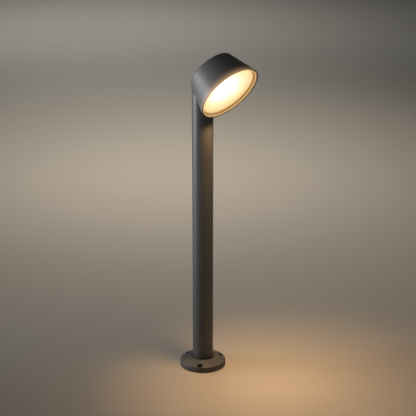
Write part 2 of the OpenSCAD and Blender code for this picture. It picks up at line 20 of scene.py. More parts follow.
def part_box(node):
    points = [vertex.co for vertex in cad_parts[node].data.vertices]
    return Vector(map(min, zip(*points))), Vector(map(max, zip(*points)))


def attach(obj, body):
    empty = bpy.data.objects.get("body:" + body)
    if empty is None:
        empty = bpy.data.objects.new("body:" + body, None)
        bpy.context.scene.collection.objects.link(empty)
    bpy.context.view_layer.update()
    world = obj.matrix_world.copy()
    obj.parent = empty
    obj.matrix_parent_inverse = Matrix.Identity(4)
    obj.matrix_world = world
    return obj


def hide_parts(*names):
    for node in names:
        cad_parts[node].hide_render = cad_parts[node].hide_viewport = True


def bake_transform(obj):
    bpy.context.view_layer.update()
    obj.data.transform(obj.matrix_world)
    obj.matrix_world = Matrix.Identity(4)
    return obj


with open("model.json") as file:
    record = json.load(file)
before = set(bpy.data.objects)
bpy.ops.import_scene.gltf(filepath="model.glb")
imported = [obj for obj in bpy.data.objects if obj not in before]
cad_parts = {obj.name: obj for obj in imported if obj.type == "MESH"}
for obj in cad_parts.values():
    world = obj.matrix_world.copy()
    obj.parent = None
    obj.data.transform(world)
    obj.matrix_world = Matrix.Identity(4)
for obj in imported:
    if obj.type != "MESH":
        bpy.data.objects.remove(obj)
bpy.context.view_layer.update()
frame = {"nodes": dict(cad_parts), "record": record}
scene = bpy.context.scene
MM = 0.001

# %% [markdown]
# ## Measuring the parts
#
# New pieces have to fit the engineering parts to a tenth of a millimetre, so their sizes are
# measured on those parts. Two things help. The points of a part tell where it is. The
# direction in which the points of a flat disc spread least is the direction that it faces:
# this is what a singular value decomposition gives.

# %% Points, axes and radii of a part
def corner_points(node):
    """All corners of a CAD part's mesh: one row of x, y, z for each."""
    mesh = frame["nodes"][node].data
    flat = np.empty(3 * len(mesh.vertices), np.float32)
    mesh.vertices.foreach_get("co", flat)
    return flat.reshape(-1, 3).astype(float)


def middle_of(node):
    """The middle of a part's box, which is a symmetric part's centre."""
    low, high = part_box(node)
    return (np.array(low) + np.array(high)) / 2


def spread_axes(node):
    """Unit directions from the widest spread of a part's points to the narrowest."""
    return np.linalg.svd(corner_points(node) - middle_of(node), full_matrices=False)[2]


# %% The head's own axes
side = np.array([1.0, 0.0, 0.0])
shine = spread_axes("diffuser")[2]
shine = shine * -np.sign(shine[2])
rise = np.cross(shine, side)
back_depth = (corner_points("head_housing") @ shine).min()
lens_middle = middle_of("diffuser")
head_origin = lens_middle + (back_depth - lens_middle @ shine) * shine


class Axes:
    """A place to model in: an origin and three directions."""

    def __init__(self, origin, across, up, out):
        self.origin, self.across, self.up, self.out = map(np.array, (origin, across, up, out))

    def local(self, points):
        """Coordinates of the points along across, up and out."""
        return (points - self.origin) @ np.stack([self.across, self.up, self.out], axis=1)

    def turned(self, node):
        """Radius and height of each corner of a part, about this axis."""
        here = self.local(corner_points(node))
        return np.hypot(here[:, 0], here[:, 1]), here[:, 2]


HEAD = Axes(head_origin, side, rise, shine)
POLE = Axes([0, 0, 0], [1, 0, 0], [0, 1, 0], [0, 0, 1])
print("lamp points", round(math.degrees(math.asin(-shine[2])), 2), "degrees below level")


def span(node, axes=HEAD):
    """Smallest and largest radius, then lowest and highest height, of a turned part."""
    radius, height = axes.turned(node)
    return radius.min(), radius.max(), height.min(), height.max()


# %% [markdown]
# ## Surfaces from two parameters
#
# Most of this light was turned, spun, moulded or extruded, so each surface is a function of
# two parameters: where along the outline, and how far round. Whole arrays are worked out at
# once, and the grid of points is then joined with four-sided faces.

# %% Grids, meshes and rounded outlines
def grid_faces(rows, columns, loop_rows):
    """Four-sided faces over a grid of points whose columns close on themselves."""
    i = np.arange(rows if loop_rows else rows - 1)[:, None]
    j = np.arange(columns)[None, :]
    k, m = (i + 1) % rows, (j + 1) % columns
    quads = [i * columns + j, i * columns + m, k * columns + m, k * columns + j]
    return np.stack([np.broadcast_to(q, (i.size, j.size)) for q in quads], -1).reshape(-1, 4)


def add_piece(name, points, faces, smooth_under=30):
    """Makes an object of the points and faces, welded, closed and facing outwards."""
    mesh = bpy.data.meshes.new(name)
    mesh.from_pydata(points.reshape(-1, 3), [], faces)
    work = bmesh.new()
    work.from_mesh(mesh)
    bmesh.ops.remove_doubles(work, verts=work.verts, dist=1e-6)
    bmesh.ops.recalc_face_normals(work, faces=work.faces)
    work.to_mesh(mesh)
    work.free()
    mesh.shade_smooth()
    mesh.set_sharp_from_angle(angle=math.radians(smooth_under))
    piece = bpy.data.objects.new(name, mesh)
    scene.collection.objects.link(piece)
    return piece


def rounded(corners, radii, steps=5):
    """An outline whose corners are arcs.

    An arc of radius r touches both sides of a corner at r / tan(half the corner's angle)
    from it, and its points are a blend of the two end spokes, weighted by sines.
    """
    corners = np.array(corners, float)
    outline = []
    for k, radius in enumerate(radii):
        corner = corners[k]
        back, on = corners[k - 1] - corner, corners[(k + 1) % len(corners)] - corner
        back, on = back / np.linalg.norm(back), on / np.linalg.norm(on)
        half = math.acos(np.clip(back @ on, -1, 1)) / 2
        if radius <= 0 or half > math.radians(88):
            outline.append(corner[None])
            continue
        centre = corner + (back + on) / np.linalg.norm(back + on) * radius / math.sin(half)
        first = corner + back * radius / math.tan(half) - centre
        last = corner + on * radius / math.tan(half) - centre
        sweep = math.pi - 2 * half
        t = np.linspace(0, 1, steps + 1)[:, None]
        arc = np.sin((1 - t) * sweep) * first + np.sin(t * sweep) * last
        outline.append(centre + arc / math.sin(sweep))
    return np.concatenate(outline)


def turn(name, outline, axes, around=160):
    """A turned piece: the closed outline (radius, height) carried round an axis.

    point = origin + radius * (cos a * across + sin a * up) + height * out
    """
    a = np.linspace(0, 2 * np.pi, around, endpoint=False)
    spoke = np.cos(a)[:, None] * axes.across + np.sin(a)[:, None] * axes.up
    radius, height = outline[:, 0], outline[:, 1]
    points = axes.origin + radius[:, None, None] * spoke + height[:, None, None] * axes.out
    return add_piece(name, points, grid_faces(len(outline), around, True))


rim_radius = span("head_housing")[1]
print("a ring of 160 steps has chords of", round(2 * math.pi * rim_radius / 160 / MM, 2), "mm at the rim")

# %% [markdown]
# ## Shader groups
#
# Real finishes are never one flat colour. Powder coat is sprayed as dust and baked, so it
# dries with a fine orange peel. Rims get rubbed. Dust settles on what faces the sky. Each of
# these effects is a node group that is built once, and each material then sets its strength.
# The groups only give colours, masks and heights. The shader stays in the material.

# %% Small helpers for shader trees
def put(tree, kind, settings=None, sockets=None):
    """Adds a node. Each socket takes a plain value or the output of another node."""
    made = tree.nodes.new(kind)
    for key, value in (settings or {}).items():
        setattr(made, key, value)
    for key, value in (sockets or {}).items():
        wire(tree, value, made.inputs[key])
    return made


def wire(tree, value, socket):
    if isinstance(value, bpy.types.NodeSocket):
        tree.links.new(value, socket)
    else:
        socket.default_value = value


def sum_of(tree, kind, first, second=0.0, third=0.0):
    """The output of a Math node."""
    sockets = {0: first, 1: second, 2: third}
    return put(tree, "ShaderNodeMath", {"operation": kind}, sockets).outputs[0]


def between(tree, factor, first, second):
    """A colour between two colours."""
    mix = put(tree, "ShaderNodeMix", {"data_type": "RGBA"}, {0: factor, 6: first, 7: second})
    return mix.outputs[2]


def remap(tree, value, low, high, to_low, to_high):
    """A value carried from one range to another, and held inside it."""
    sockets = {"Value": value, "From Min": low, "From Max": high, "To Min": to_low, "To Max": to_high}
    return put(tree, "ShaderNodeMapRange", None, sockets).outputs[0]


def dot(tree, first, second):
    """How far one direction runs along another."""
    settings = {"operation": "DOT_PRODUCT"}
    return put(tree, "ShaderNodeVectorMath", settings, {0: first, 1: second}).outputs["Value"]


def part_z(tree, vector):
    """The Z share of a vector."""
    return put(tree, "ShaderNodeSeparateXYZ", None, {0: vector}).outputs["Z"]


def noise(tree, place, scale, detail=2.0, rough=0.5):
    sockets = {"Vector": place, "Scale": scale, "Detail": detail, "Roughness": rough}
    return put(tree, "ShaderNodeTexNoise", None, sockets).outputs[0]


def effect(name, inputs, outputs):
    """An empty node group with named inputs and outputs."""
    tree = bpy.data.node_groups.new(name, "ShaderNodeTree")
    for label, start in inputs.items():
        kind = "NodeSocketColor" if isinstance(start, tuple) else "NodeSocketFloat"
        tree.interface.new_socket(label, in_out="INPUT", socket_type=kind).default_value = start
    for label, kind in outputs.items():
        tree.interface.new_socket(label, in_out="OUTPUT", socket_type="NodeSocket" + kind)
    given, result = tree.nodes.new("NodeGroupInput"), tree.nodes.new("NodeGroupOutput")
    return tree, given.outputs, result.inputs


# %% Grain: mottled colour, uneven gloss and a fine bump
def make_grain():
    tree, given, result = effect(
        "grain",
        {"Colour": (0.5, 0.5, 0.5, 1.0), "Mottle": 0.1, "Gloss Low": 0.4, "Gloss High": 0.5,
         "Peel Size": 500.0, "Cloud Size": 14.0},
        {"Colour": "Color", "Roughness": "Float", "Height": "Float"})
    place = put(tree, "ShaderNodeTexCoord").outputs["Object"]
    cloud = noise(tree, place, given["Cloud Size"], 4.0, 0.6)
    peel = noise(tree, place, given["Peel Size"], 1.0)
    speck = noise(tree, place, sum_of(tree, "MULTIPLY", given["Peel Size"], 4.0), 2.0, 0.7)
    low = sum_of(tree, "SUBTRACT", 1.0, given["Mottle"])
    high = sum_of(tree, "ADD", 1.0, given["Mottle"])
    mixed = sum_of(tree, "MULTIPLY_ADD", speck, 0.5, sum_of(tree, "MULTIPLY", cloud, 0.5))
    scaled = {0: given["Colour"], "Scale": remap(tree, mixed, 0.3, 0.7, low, high)}
    shade = put(tree, "ShaderNodeVectorMath", {"operation": "SCALE"}, scaled)
    wire(tree, shade.outputs[0], result["Colour"])
    wire(tree, remap(tree, cloud, 0.3, 0.7, given["Gloss Low"], given["Gloss High"]), result["Roughness"])
    wire(tree, sum_of(tree, "MULTIPLY_ADD", speck, 0.35, peel), result["Height"])
    return tree


GRAIN = make_grain()


# %% Rubbed edges: where the rounded normal leaves the true one
def make_rub():
    tree, given, result = effect(
        "rubbed edge", {"Width": 0.0012, "Amount": 0.5, "Patch Size": 60.0}, {"Mask": "Float"})
    place = put(tree, "ShaderNodeTexCoord").outputs["Object"]
    soft = put(tree, "ShaderNodeBevel", {"samples": 4}, {"Radius": given["Width"]}).outputs[0]
    true = put(tree, "ShaderNodeNewGeometry").outputs["Normal"]
    lean = dot(tree, soft, true)
    edge = remap(tree, lean, 0.98, 0.80, 0.0, 1.0)
    patch = remap(tree, noise(tree, place, given["Patch Size"], 5.0, 0.65), 0.45, 0.65, 0.0, 1.0)
    worn = sum_of(tree, "MULTIPLY", edge, patch)
    wire(tree, sum_of(tree, "MULTIPLY", worn, given["Amount"]), result["Mask"])
    return tree


RUB = make_rub()


# %% Settled dust: what faces the sky, broken up
def make_dust():
    tree, given, result = effect("settled dust", {"Amount": 0.3, "Patch Size": 30.0}, {"Mask": "Float"})
    place = put(tree, "ShaderNodeTexCoord").outputs["Object"]
    facing = part_z(tree, put(tree, "ShaderNodeNewGeometry").outputs["Normal"])
    sky = remap(tree, facing, 0.35, 1.0, 0.0, 1.0)
    patch = remap(tree, noise(tree, place, given["Patch Size"], 6.0, 0.7), 0.35, 0.7, 0.25, 1.0)
    settled = sum_of(tree, "MULTIPLY", sky, patch)
    wire(tree, sum_of(tree, "MULTIPLY", settled, given["Amount"]), result["Mask"])
    return tree


DUST = make_dust()


# %% Drawn metal: lines along one direction
def make_drawn():
    tree, given, result = effect(
        "drawn lines", {"Along X": 1.0, "Along Y": 1.0, "Along Z": 0.05, "Fineness": 900.0},
        {"Value": "Float"})
    place = put(tree, "ShaderNodeTexCoord").outputs["Object"]
    stretch = put(tree, "ShaderNodeCombineXYZ", None,
                  {0: given["Along X"], 1: given["Along Y"], 2: given["Along Z"]}).outputs[0]
    pulled = put(tree, "ShaderNodeVectorMath", {"operation": "MULTIPLY"}, {0: place, 1: stretch}).outputs[0]
    wire(tree, noise(tree, pulled, given["Fineness"], 4.0, 0.6), result["Value"])
    return tree


DRAWN = make_drawn()
print("shader groups:", [g.name for g in bpy.data.node_groups])

# %% [markdown]
# ## Materials
#
# One function starts a material with its shader. Every material then places the groups that
# it needs. A gloss or colour that never changes is set on the shader's own socket.

# %% A helper that starts a material
def group(tree, source, **values):
    made = put(tree, "ShaderNodeGroup", {"node_tree": source})
    for key, value in values.items():
        wire(tree, value, made.inputs[key.replace("_", " ")])
    return made.outputs


def start(name, **constant):
    """A new material and its Principled shader, with the sockets that never change."""
    material = bpy.data.materials.new(name)
    material.use_nodes = True
    tree = material.node_tree
    shader = tree.nodes["Principled BSDF"]
    for key, value in constant.items():
        shader.inputs[key.replace("_", " ")].default_value = value
    return material, tree, shader.inputs


def bump(tree, height, depth, strength=1.0):
    """A normal from a height that runs from 0 to 1 over depth metres."""
    sockets = {"Height": height, "Distance": depth, "Strength": strength}
    return put(tree, "ShaderNodeBump", None, sockets).outputs[0]


def plain_finish(name, colour, mottle, low, high, peel, depth, **constant):
    """A moulded or painted finish: grain alone."""
    material, tree, shader = start(name, **constant)
    skin = group(tree, GRAIN, Colour=(*colour, 1.0), Mottle=mottle, Gloss_Low=low, Gloss_High=high,
                 Peel_Size=peel)
    wire(tree, skin["Colour"], shader["Base Color"])
    wire(tree, skin["Roughness"], shader["Roughness"])
    wire(tree, bump(tree, skin["Height"], depth), shader["Normal"])
    return material


# %% [markdown]
# ### Powder coat
#
# The whole outside is anthracite polyester powder. It is satin, faintly blue, with an orange
# peel about two millimetres across. Edges are rubbed a little lighter, and the flange and
# the top of the head carry a trace of dust. The head's coat is a shade lighter and duller
# than the tube's. The amounts are arguments, so that all four coats share one recipe.
#
# Light from the lamp also spills over the rim and warms the outside of the head. That glow is
# painted light, which the coat gives as emission: it is strongest at the rim, on one side, and
# gone a few centimetres behind it.

# %% Place on the lamp's axis
def lamp_frame(tree, origin):
    """The place measured from a point on the lamp's axis, with Z along that axis."""
    place = put(tree, "ShaderNodeTexCoord").outputs["Object"]
    turn_in = Matrix(np.stack([HEAD.across, HEAD.up, HEAD.out], axis=1).tolist()).to_euler()
    return put(tree, "ShaderNodeMapping", {"vector_type": "TEXTURE"},
               {"Vector": place, "Location": tuple(origin), "Rotation": tuple(turn_in)}).outputs[0]


def lamp_radius(tree, origin):
    """Distance from the lamp's axis, in metres."""
    flat = put(tree, "ShaderNodeVectorMath", {"operation": "MULTIPLY"},
               {0: lamp_frame(tree, origin), 1: (1.0, 1.0, 0.0)}).outputs[0]
    return put(tree, "ShaderNodeVectorMath", {"operation": "LENGTH"}, {0: flat}).outputs["Value"]


# %% Powder coat
COAT = (0.052, 0.056, 0.060)
RUBBED = (0.16, 0.165, 0.17, 1.0)
DUSTY = (0.23, 0.20, 0.165, 1.0)
_, RIM_RADIUS, _, RIM_PLANE = span("head_housing")
# Reach, side and fades of the painted glow near the head's rim.
SPILL_REACH = 34 * MM
SPILL_SIDE = (-0.75, 0.66, 0.0)
SPILL_FADE_ROUND, SPILL_FADE_BEHIND = 1.6, 3.3


def painted_rim_spill(tree, colour):
    """A painted glow on the outside of the head, fading behind the rim and round it."""
    here = lamp_frame(tree, HEAD.origin)
    near = remap(tree, part_z(tree, here), RIM_PLANE - SPILL_REACH, RIM_PLANE, 0.0, 1.0)
    facing = remap(tree, dot(tree, here, SPILL_SIDE), 0.0, 0.95 * RIM_RADIUS, 0.0, 1.0)
    round_it = sum_of(tree, "POWER", facing, SPILL_FADE_ROUND)
    behind_it = sum_of(tree, "POWER", near, SPILL_FADE_BEHIND)
    fade = sum_of(tree, "MULTIPLY", round_it, behind_it)
    return between(tree, fade, (0.0, 0.0, 0.0, 1.0), (*colour, 1.0))


def powder_coat(name, dust, rub, gloss=(0.40, 0.50), colour=COAT, spill=None):
    """spill: colour of the painted glow near the lit rim, or None for a coat that never glows."""
    glow = 0.0 if spill is None else 1.0
    material, tree, shader = start(name, Specular_IOR_Level=0.5, Emission_Strength=glow)
    skin = group(tree, GRAIN, Colour=(*colour, 1.0), Mottle=0.10, Gloss_Low=gloss[0], Gloss_High=gloss[1],
                 Peel_Size=520.0)
    worn = group(tree, RUB, Amount=rub)["Mask"]
    dusted = group(tree, DUST, Amount=dust)["Mask"]
    paint = between(tree, dusted, between(tree, worn, skin["Colour"], RUBBED), DUSTY)
    rough = sum_of(tree, "MULTIPLY_ADD", dusted, 0.45, skin["Roughness"])
    wire(tree, paint, shader["Base Color"])
    wire(tree, rough, shader["Roughness"])
    wire(tree, bump(tree, skin["Height"], 0.00003), shader["Normal"])
    if spill is not None:
        wire(tree, painted_rim_spill(tree, spill), shader["Emission Color"])
    return material


HEAD_LOOK = {"rub": 0.35, "gloss": (0.48, 0.58), "colour": (0.080, 0.083, 0.084)}
head_coat_and_painted_glow = powder_coat("head_coat_and_painted_glow", dust=0.40, spill=(0.40, 0.235, 0.11), **HEAD_LOOK)
bracket_coat = powder_coat("bracket_coat", dust=0.10, **HEAD_LOOK)
tube_coat = powder_coat("tube_coat", dust=0.0, rub=0.35)
base_coat = powder_coat("base_coat", dust=0.20, rub=0.55, gloss=(0.42, 0.54))
print("the rim glow reaches", round(SPILL_REACH / MM), "mm behind the rim")

# %% [markdown]
# ### Bare metals
#
# The heat sink is bare aluminium, the gear tray is galvanised sheet with its crystal
# spangle, the screws are stainless steel, and the earth screw is brass.

# %% Metals
def drawn_metal(name, colour, low, high, depth=0.00001, **lines):
    material, tree, shader = start(name, Metallic=1.0)
    grain = group(tree, DRAWN, **lines)["Value"]
    skin = group(tree, GRAIN, Colour=(*colour, 1.0), Mottle=0.06, Gloss_Low=low, Gloss_High=high)
    wire(tree, skin["Colour"], shader["Base Color"])
    lines_only = sum_of(tree, "SUBTRACT", grain, 0.5)
    wire(tree, sum_of(tree, "MULTIPLY_ADD", lines_only, 0.25, skin["Roughness"]), shader["Roughness"])
    wire(tree, bump(tree, grain, depth), shader["Normal"])
    return material


stainless = drawn_metal("stainless", (0.60, 0.60, 0.59), 0.24, 0.36, Along_Z=1.0, Along_X=0.1)
bare_aluminium = drawn_metal("bare_aluminium", (0.76, 0.77, 0.78), 0.34, 0.48, Along_X=0.06, Along_Z=1.0)
brass = drawn_metal("brass", (0.78, 0.58, 0.26), 0.25, 0.38, Along_Z=1.0)


def zinc():
    material, tree, shader = start("zinc_sheet", Metallic=1.0)
    place = put(tree, "ShaderNodeTexCoord").outputs["Object"]
    crystal = put(tree, "ShaderNodeTexVoronoi", None, {"Vector": place, "Scale": 150.0}).outputs["Color"]
    tone = put(tree, "ShaderNodeSeparateColor", None, {0: crystal}).outputs[0]
    wire(tree, between(tree, tone, (0.46, 0.48, 0.50, 1.0), (0.66, 0.68, 0.70, 1.0)), shader["Base Color"])
    wire(tree, remap(tree, tone, 0.0, 1.0, 0.30, 0.52), shader["Roughness"])
    wire(tree, bump(tree, tone, 0.00001), shader["Normal"])
    return material


zinc_sheet = zinc()

# %% [markdown]
# ### Rubber, plastics and boards
#
# Rubber is almost black and scatters light softly. The nylon is undyed. The silicone and the
# plastic are off-white, and the thermal pad is grey-blue.

# %% Rubber, nylon, plastic, silicone
black_rubber = plain_finish("black_rubber", (0.016, 0.016, 0.017), 0.15, 0.62, 0.78, 900.0, 0.00004)
lead_sheath = plain_finish("lead_sheath", (0.022, 0.022, 0.023), 0.10, 0.45, 0.58, 700.0, 0.00002)
wire_sleeve = plain_finish("wire_sleeve", (0.26, 0.10, 0.04), 0.08, 0.35, 0.45, 900.0, 0.00001)
silicone = plain_finish("silicone", (0.74, 0.74, 0.70), 0.04, 0.45, 0.60, 800.0, 0.00002)
natural_nylon = plain_finish("natural_nylon", (0.78, 0.75, 0.67), 0.05, 0.40, 0.52, 700.0, 0.00002)
white_plastic = plain_finish("white_plastic", (0.80, 0.80, 0.78), 0.03, 0.38, 0.50, 900.0, 0.00003)
pad_blue = plain_finish("thermal_pad", (0.26, 0.36, 0.46), 0.08, 0.70, 0.85, 1200.0, 0.00003)

# %% [markdown]
# ### The lit parts
#
# The hot spot of a lamp like this isn't painted on its cover. The LEDs sit thirteen
# millimetres behind the opal disc, so the bright core slides against the rim as you walk
# round. To get that, the board and the dish behind the cover glow by themselves: their glow is
# painted light, the LEDs' light on the board and in the dish given as emission. The cover is
# partly clear with a weaker glow of its own. The glow falls off with distance from
# the lamp's axis, which a Mapping node turns onto Z.

# %% A glow that fades with distance
def glow_ramp(tree, radius, inner, outer, stops):
    """A colour that changes with radius. Stops: (share of the way from inner to outer, colour)."""
    ramp = put(tree, "ShaderNodeValToRGB", None, {0: remap(tree, radius, inner, outer, 0.0, 1.0)})
    bands = ramp.color_ramp
    bands.interpolation = "B_SPLINE"
    for at, colour in stops[1:-1]:
        bands.elements.new(at).color = (*colour, 1.0)
    bands.elements[0].position, bands.elements[0].color = stops[0][0], (*stops[0][1], 1.0)
    bands.elements[-1].position, bands.elements[-1].color = stops[-1][0], (*stops[-1][1], 1.0)
    return ramp.outputs[0]


def glowing(name, colour, stops, strength, mottle=0.03, low=0.4, high=0.5, peel=600.0, depth=0.00002,
            inner=0.0, outer=None, **constant):
    """A finish whose own light fades away from the lamp's axis: the lamp's light on the chips and the disc,
    painted light on the board, dish, plug and ring.
    """
    material, tree, shader = start(name, Emission_Strength=strength, **constant)
    skin = group(tree, GRAIN, Colour=(*colour, 1.0), Mottle=mottle, Gloss_Low=low, Gloss_High=high,
                 Peel_Size=peel)
    wire(tree, skin["Colour"], shader["Base Color"])
    wire(tree, skin["Roughness"], shader["Roughness"])
    wire(tree, bump(tree, skin["Height"], depth), shader["Normal"])
    fade = glow_ramp(tree, lamp_radius(tree, HEAD.origin), inner, outer or LENS_REACH, stops)
    wire(tree, fade, shader["Emission Color"])
    return material


LENS_REACH = span("diffuser")[1]
CORE_WHITE = (1.0, 0.95, 1.0)
EVEN = [(0.0, CORE_WHITE), (1.0, CORE_WHITE)]
# The board's and the dish's fades are painted light: the LEDs' light on them, as emission.
BOARD_PAINTED_FADE = [(0.0, CORE_WHITE), (0.5, CORE_WHITE), (1.0, (0.8, 0.7, 0.6))]
DISH_PAINTED_FADE = [(0.34, CORE_WHITE), (0.46, (0.60, 0.56, 0.62)), (0.58, (0.02, 0.02, 0.02)),
             (1.0, (0.0, 0.0, 0.0))]
OPAL_FADE = [(0.0, (1.0, 0.74, 0.42)), (0.6, (1.0, 0.72, 0.36)), (0.9, (1.0, 0.72, 0.33)),
             (1.0, (0.97, 0.68, 0.29))]
BOARD_PAINTED_GLOW, CHIP_GLOW, DISH_PAINTED_GLOW, OPAL_GLOW = 3.4, 5.0, 4.4, 0.86
board_white = glowing("board_white", (0.86, 0.86, 0.83), BOARD_PAINTED_FADE, BOARD_PAINTED_GLOW)
phosphor = glowing("led_phosphor", (0.95, 0.72, 0.18), EVEN, CHIP_GLOW)
dish_white_painted_glow = glowing("reflector_white", (0.90, 0.90, 0.87), DISH_PAINTED_FADE, DISH_PAINTED_GLOW)
# The plug's glow is painted light, as bright as the board's.
plug_painted_glow = glowing("plug_painted_light", (0.80, 0.80, 0.78), EVEN, BOARD_PAINTED_GLOW)
opal = glowing("opal_diffuser", (0.58, 0.56, 0.56), OPAL_FADE, OPAL_GLOW,
               mottle=0.02, low=0.28, high=0.36, peel=350.0, depth=0.00001, Alpha=0.6)
print("the cover glows out to", round(LENS_REACH / MM, 1), "mm")

# %% [markdown]
# ## The pole
#
# The pole is a drawn tube, sawn off at the bottom and mitred at the top, at about the slope
# of the head's back. The surface has two parameters: the angle round the tube and the
# place along a closed outline that goes up the outside, over the end, and down the bore.
# Each outline point has a radius, a share of the tube's height and a small offset. The
# height of the mitre changes with the angle, and the share carries every point up to it.

# %% Measure the mitre and shape the tube
tube_points = corner_points("pole_tube")
tube_radius, tube_height = POLE.turned("pole_tube")
tube_low, tube_outer, tube_inner = tube_height.min(), tube_radius.max(), tube_radius.min()
ends = tube_points[np.abs(tube_radius - tube_outer) < 0.1 * MM]
mitre_front, mitre_rear = ends[ends[:, 1] < -0.99 * tube_outer][:, 2].max(), tube_height.max()
mitre_slope = (mitre_rear - mitre_front) / (2 * tube_outer)
mitre_middle = (mitre_rear + mitre_front) / 2
print("tube", round(2 * tube_outer / MM, 1), "mm, mitre",
      round(math.degrees(math.atan(mitre_slope)), 1), "degrees")


def mitred_tube(name, outer, inner, low, around=160, bands=40, soft=0.4 * MM):
    """Tube with a slanted end: height = low + share * (mitre height - low) + offset.

    The mitre height is mitre_middle + slope * y, with y = -radius * cos(angle).
    """
    up = np.linspace(0, 1, bands)
    cut = soft * np.array([0.0, 0.3, 1.0])
    radius = np.concatenate([
        np.full(bands, outer), outer - cut[1:], inner + cut[:0:-1],
        np.full(bands, inner), inner + cut[1:], outer - cut[:0:-1]])
    share = np.concatenate([up, [1, 1, 1, 1], up[::-1], [0, 0, 0, 0]])
    offset = np.zeros(len(radius))
    offset[0], offset[bands - 1] = soft, -soft
    offset[bands], offset[bands + 3] = -0.3 * soft, -0.3 * soft
    offset[bands + 4], offset[2 * bands + 3] = -soft, soft
    offset[2 * bands + 4], offset[-1] = 0.3 * soft, 0.3 * soft
    a = np.linspace(0, 2 * np.pi, around, endpoint=False)
    x, y = radius[:, None] * np.sin(a), -radius[:, None] * np.cos(a)
    top = mitre_middle + mitre_slope * y
    z = low + share[:, None] * (top - low) + offset[:, None]
    return add_piece(name, np.stack([x, y, z], -1), grid_faces(len(radius), around, True))


tube = mitred_tube("tube", tube_outer, tube_inner, tube_low)

# %% [markdown]
# Two grub screws hold the tube in the spigot's groove, and two more hold the cap. Their
# holes are drilled with a Boolean. The drill is a turned cylinder on the hole's own axis,
# measured from the screws, and it is thrown away once the hole is made.

# %% Drill the four screw holes
def parts_of(node, count):
    """Splits a part's points into separate lumps, by where they lie round the pole."""
    points = corner_points(node)
    angle = np.arctan2(points[:, 1], points[:, 0])
    order = np.argsort(angle)
    gaps = np.diff(np.append(angle[order], angle[order][0] + 2 * np.pi))
    breaks = np.sort(np.argsort(gaps)[-count:])
    pieces = np.split(np.roll(order, -(breaks[0] + 1)), np.diff(breaks).cumsum())
    return [points[p] for p in pieces if len(p)]


def drill(piece, origin, axis, radius, start_at, end_at):
    """Cuts a round hole from start_at to end_at along the axis."""
    across = np.cross(axis, [0.0, 0.0, 1.0] if abs(axis[2]) < 0.9 else [1.0, 0.0, 0.0])
    across = across / np.linalg.norm(across)
    place = Axes(origin, across, np.cross(axis, across), axis)
    outline = np.array([[0, start_at], [radius, start_at], [radius, end_at], [0, end_at]])
    tool = turn("drill", outline, place, 48)
    hole = piece.modifiers.new("hole", "BOOLEAN")
    hole.object, hole.operation, hole.solver = tool, "DIFFERENCE", "EXACT"
    bpy.context.view_layer.update()
    done = bpy.data.meshes.new_from_object(piece.evaluated_get(bpy.context.evaluated_depsgraph_get()))
    piece.modifiers.clear()
    piece.data = done
    bpy.data.objects.remove(tool)


GRUB_HOLE_RADIUS, CAP_HOLE_RADIUS = 3.05 * MM, 2.6 * MM
PAST_THE_WALL = 4 * MM
for screws, radius in (("grub_screws", GRUB_HOLE_RADIUS), ("cap_screws", CAP_HOLE_RADIUS)):
    for lump in parts_of(screws, 2):
        centre = (lump.min(0) + lump.max(0)) / 2
        outward = np.array([centre[0], centre[1], 0.0])
        outward /= np.linalg.norm(outward)
        drill(tube, [0, 0, centre[2]], outward, radius,
              tube_inner - PAST_THE_WALL, tube_outer + PAST_THE_WALL)
tube.data.shade_smooth()
tube.data.set_sharp_from_angle(angle=math.radians(30))
tube.data.materials.clear()
tube.data.materials.append(tube_coat)
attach(tube, "pole")
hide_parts("pole_tube")
print("tube faces:", len(tube.data.polygons))

# %% [markdown]
# ## Castings and turned pieces with eased edges
#
# No real casting has knife edges. Where a part's shape is already right, the quickest honest
# way is to copy it, weld its loose triangles, join the flat ones and round its sharp edges
# with a Bevel modifier. The thin bright line that a rounded edge catches is what tells the
# eye that a thing is solid.

# %% Copy a part and ease its edges
def eased(node, name, width, material, body, sharp_over=32, segments=2):
    """A welded copy of a part, with its edges rounded by width metres."""
    source = frame["nodes"][node].data
    corners = np.empty(len(source.loops), np.int32)
    source.loops.foreach_get("vertex_index", corners)
    piece = add_piece(name, corner_points(node), corners.reshape(-1, 3))
    work = bmesh.new()
    work.from_mesh(piece.data)
    bmesh.ops.remove_doubles(work, verts=work.verts, dist=3e-6)
    bmesh.ops.dissolve_limit(work, angle_limit=math.radians(0.3), verts=work.verts, edges=work.edges)
    bmesh.ops.recalc_face_normals(work, faces=work.faces)
    work.to_mesh(piece.data)
    work.free()
    ease = piece.modifiers.new("eased edge", "BEVEL")
    ease.width, ease.segments, ease.limit_method = width, segments, "ANGLE"
    ease.angle_limit, ease.harden_normals = math.radians(sharp_over), True
    piece.data.shade_smooth()
    piece.data.materials.append(material)
    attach(piece, body)
    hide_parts(node)
    print(name, "has edges eased by", round(width / MM, 1), "mm")


eased("head_housing", "head_shell", 0.5 * MM, head_coat_and_painted_glow, "head")
eased("base_flange", "flange", 0.5 * MM, base_coat, "base")
eased("hinge_bracket", "bracket", 0.5 * MM, bracket_coat, "head")
eased("pole_cap", "cap", 0.4 * MM, tube_coat, "pole")
eased("pivot_bolt", "tilt_bolt", 0.3 * MM, stainless, "head")
eased("pivot_nut", "tilt_nut", 0.3 * MM, stainless, "head")
